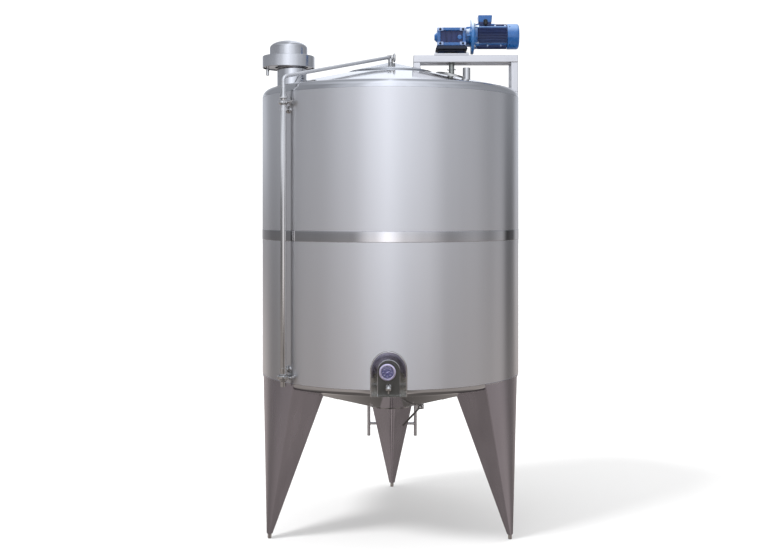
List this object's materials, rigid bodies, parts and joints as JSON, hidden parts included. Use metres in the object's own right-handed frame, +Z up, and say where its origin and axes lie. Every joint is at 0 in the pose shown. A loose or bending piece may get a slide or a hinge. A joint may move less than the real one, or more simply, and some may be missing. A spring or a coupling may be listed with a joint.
{
  "type": "vertical storage tank",
  "caption": "Vertical jacketed stainless storage tank on tapered legs, with cone roof, agitator drive, breather, cleaning pipe, instrument alcove and rear ladder.",
  "frame": {"origin": "on the vessel's axis, at floor level", "axes": "+Z up, -Y towards the instrument alcove at the front, +X towards the agitator's motor"},
  "size_m": [1.811, 1.9535, 3.559],
  "materials": {
    "satin_steel": "satin",
    "polished_steel": "mirror polished",
    "pipe_steel": "bright",
    "leg_steel": "brushed",
    "blue_paint": "gloss",
    "black_paint": "satin",
    "dial_face": "gloss"
  },
  "bodies": {
    "tank": {"shell_lower_front": "satin_steel", "shell_lower_right": "satin_steel", "shell_lower_rear": "satin_steel", "shell_lower_left": "satin_steel", "shell_upper_front": "satin_steel", "shell_upper_right": "satin_steel", "shell_upper_rear": "satin_steel", "shell_upper_left": "satin_steel", "mid_band": "polished_steel", "top_knuckle": "polished_steel", "roof_cone": "polished_steel", "roof_crown": "polished_steel", "bottom_knuckle": "polished_steel", "bottom_cone": "polished_steel", "outlet_plate": "pipe_steel", "alcove": "polished_steel", "thermometer": "dial_face", "sample_cock": "pipe_steel", "leg_left": "leg_steel", "leg_right": "leg_steel", "leg_rear": "leg_steel", "foot_left": "pipe_steel", "foot_right": "pipe_steel", "foot_rear": "pipe_steel", "breather_neck": "polished_steel", "breather_drum": "satin_steel", "breather_dome": "satin_steel", "breather_drain": "pipe_steel", "riser_ferrule": "pipe_steel", "riser_clamp_low": "pipe_steel", "cip_riser": "pipe_steel", "riser_clamp_high": "pipe_steel", "riser_reducer": "pipe_steel", "cip_roof_pipe": "pipe_steel", "spray_tee": "pipe_steel", "spray_tee_cap": "pipe_steel", "riser_bracket_low": "pipe_steel", "riser_bracket_high": "pipe_steel", "frame_beam_front": "leg_steel", "frame_beam_rear": "leg_steel", "frame_tie_left": "leg_steel", "frame_tie_right": "leg_steel", "frame_post_left_front": "leg_steel", "frame_post_left_rear": "leg_steel", "frame_post_right_front": "leg_steel", "frame_post_right_rear": "leg_steel", "frame_plate": "leg_steel", "seal_housing": "polished_steel", "roof_nozzle": "pipe_steel", "gearbox_base": "black_paint", "gearbox": "blue_paint", "motor_flange": "blue_paint", "motor_body": "blue_paint", "fan_cover": "blue_paint", "terminal_box": "blue_paint", "outlet_valve": "pipe_steel", "ladder": "leg_steel"},
    "agitator": {"agitator_shaft": "pipe_steel"},
    "lever": {"valve_lever": "pipe_steel"}
  },
  "joints": [
    {"name": "agitator_spin", "type": "hinge", "parent": "tank", "child": "agitator", "pos_m": [0.432, 0, 3.16], "axis": [0, 0, 1], "continuous": true},
    {"name": "lever_turn", "type": "hinge", "parent": "tank", "child": "lever", "pos_m": [0.211, 0.06, 0.7836], "axis": [0, -1, 0], "range_deg": [-46.8, 43.2]}
  ]
}
